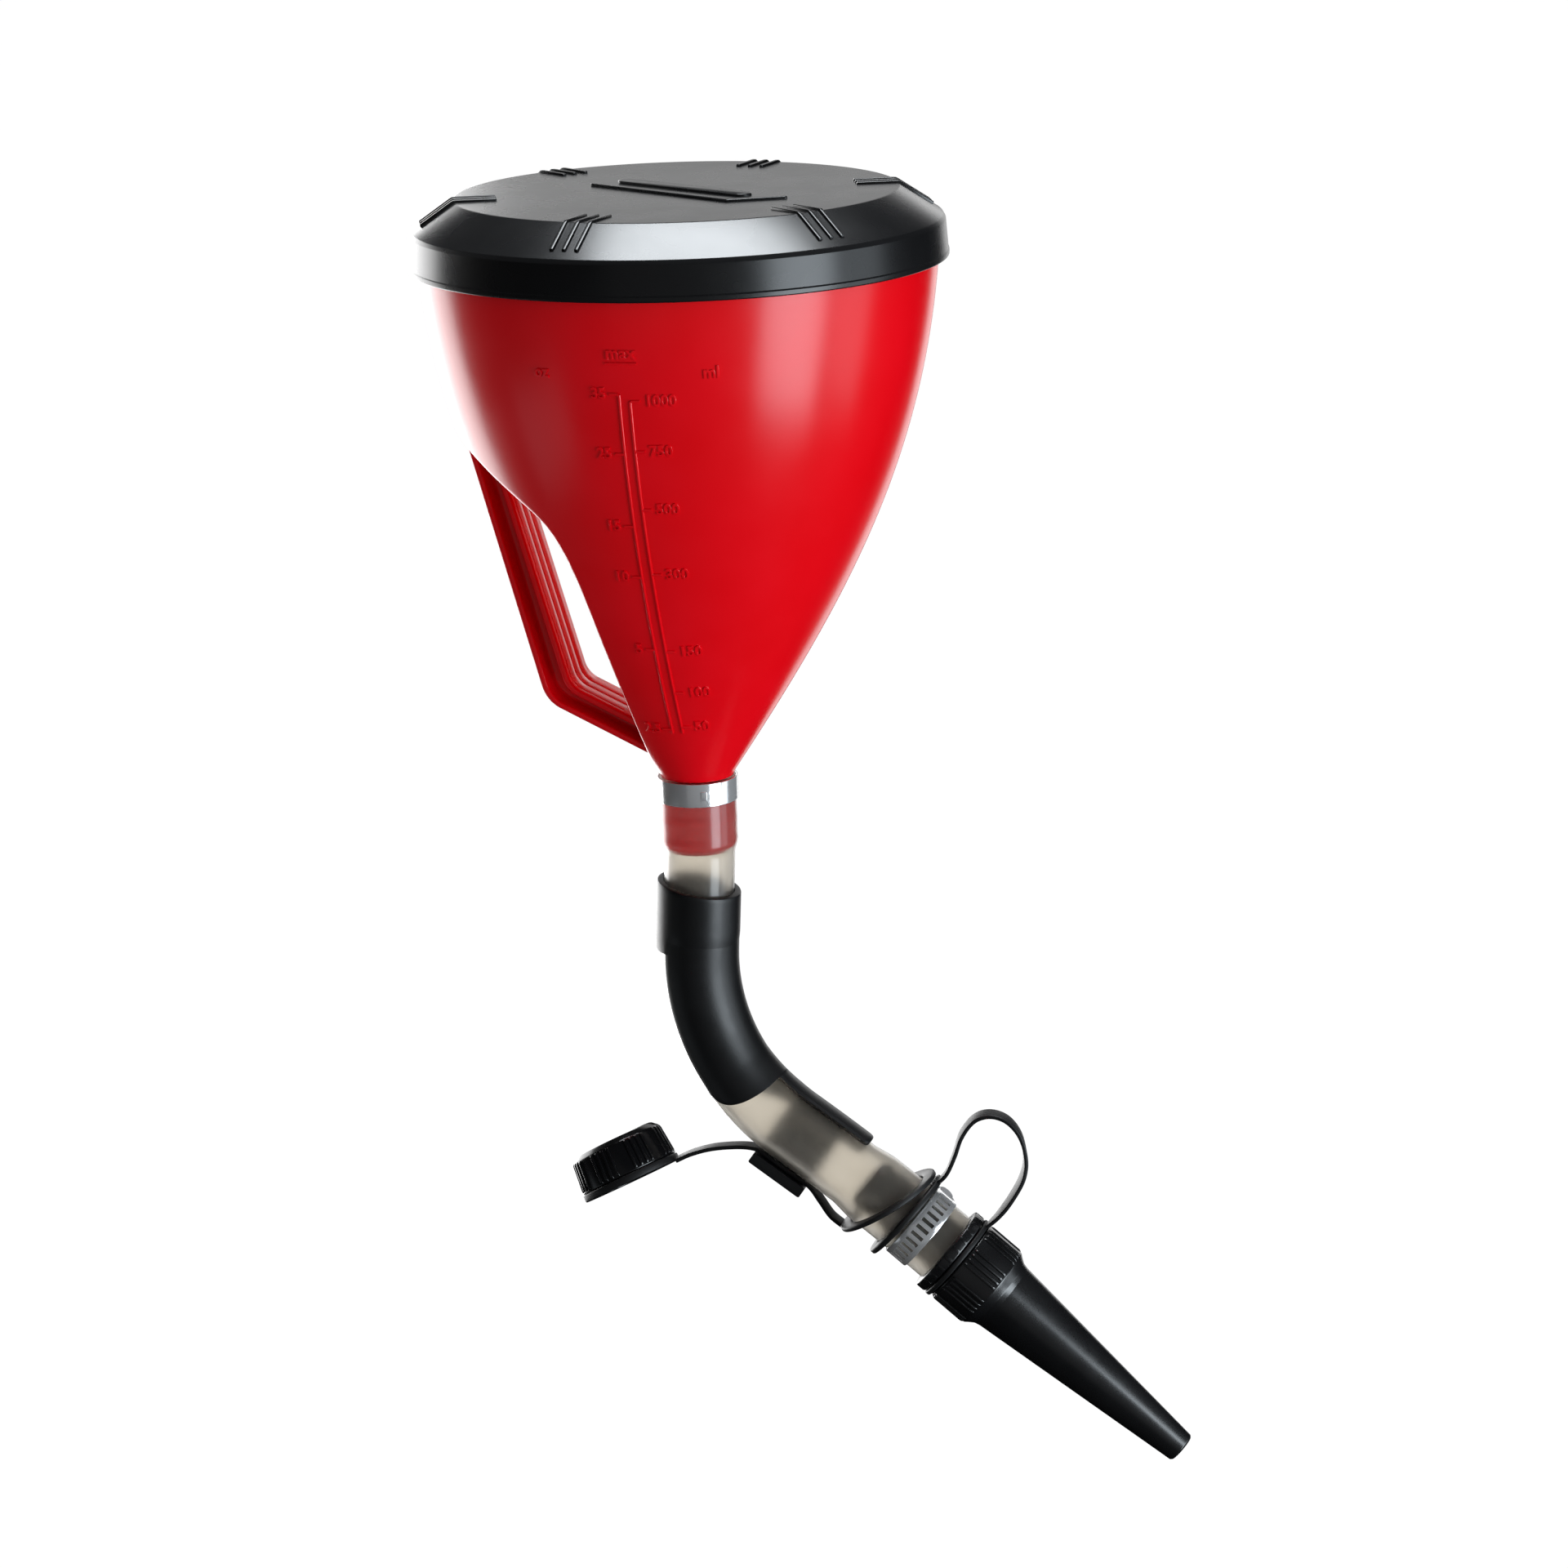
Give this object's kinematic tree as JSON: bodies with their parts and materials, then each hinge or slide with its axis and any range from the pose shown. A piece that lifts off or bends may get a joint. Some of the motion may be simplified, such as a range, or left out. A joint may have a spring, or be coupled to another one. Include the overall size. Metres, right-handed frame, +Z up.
{
  "type": "filling funnel",
  "caption": "Deep round funnel with push-on lid, side handle, raised volume scale and a clear bent hose ending in a tapered screw-on nozzle with a tethered cap.",
  "frame": {"origin": "bowl axis at the foot of the cone, where the neck spigot starts", "axes": "+Z up the bowl axis, handle toward -X, volume scale toward -Y, spout bends toward +X"},
  "size_m": [0.2388, 0.166, 0.4071],
  "materials": {
    "black_lid": "satin",
    "red_moulding": "gloss",
    "steel_band": "bright",
    "steel_screw": "brushed",
    "clear_hose": "clear, slightly yellowed",
    "black_matte": "matte",
    "black_satin": "satin",
    "tether": "satin",
    "cap_black": "gloss",
    "seal_rubber": "matte"
  },
  "bodies": {
    "bowl": {"bowl": "red_moulding", "handle": "red_moulding"},
    "lid": {"lid": "black_lid"},
    "hose": {"hose": "clear_hose", "neck_clamp": "steel_band", "bend_guide": "black_matte", "connector": "black_satin", "clamp_band": "steel_band", "clamp_housing": "steel_band", "cap_tether_ring": "tether", "cap_tether_strap": "tether", "nozzle_tether_ring": "tether", "nozzle_tether_strap": "tether"},
    "clamp_screw": {"clamp_screw": "steel_screw"},
    "cap_arm": {"cap_tether_collar": "tether"},
    "cap": {"cap": "cap_black", "cap_seal": "seal_rubber"},
    "nozzle_carrier": {"nozzle_tether_collar": "tether"},
    "nozzle": {"nozzle": "black_satin", "nozzle_seal": "seal_rubber"}
  },
  "joints": [
    {"name": "lid_lift", "type": "slide", "parent": "bowl", "child": "lid", "axis": [0, 0, 1], "range_m": [0, 0.06]},
    {"name": "spout_swivel", "type": "hinge", "parent": "bowl", "child": "hose", "pos_m": [0, 0, 0], "axis": [0, 0, 1], "continuous": true},
    {"name": "clamp_screw_turn", "type": "hinge", "parent": "hose", "child": "clamp_screw", "pos_m": [0.06911, 0.017, -0.14864], "axis": [-0.6428, 0, -0.766], "continuous": true},
    {"name": "cap_swing", "type": "hinge", "parent": "hose", "child": "cap_arm", "pos_m": [0.0165, 0, -0.1255], "axis": [0, 1, 0], "range_deg": [-30, 25], "stiffness_Nm_per_rad": 0.1, "deforming": ["cap_tether_strap"]},
    {"name": "cap_turn", "type": "hinge", "parent": "cap_arm", "child": "cap", "pos_m": [-0.0266, 0, -0.1389], "axis": [-0.4652, 0.2079, 0.8604], "continuous": true},
    {"name": "nozzle_travel", "type": "slide", "parent": "hose", "child": "nozzle_carrier", "axis": [0.766, 0, -0.6428], "range_m": [0, 0.009], "deforming": ["nozzle_tether_strap"]},
    {"name": "nozzle_turn", "type": "hinge", "parent": "nozzle_carrier", "child": "nozzle", "pos_m": [0.08474, 0, -0.16176], "axis": [0.766, 0, -0.6428], "range_deg": [0, 1081]}
  ],
  "couplings": [
    {"joint": "nozzle_turn", "follows": "nozzle_travel", "rad_per_m": 2094.4}
  ]
}
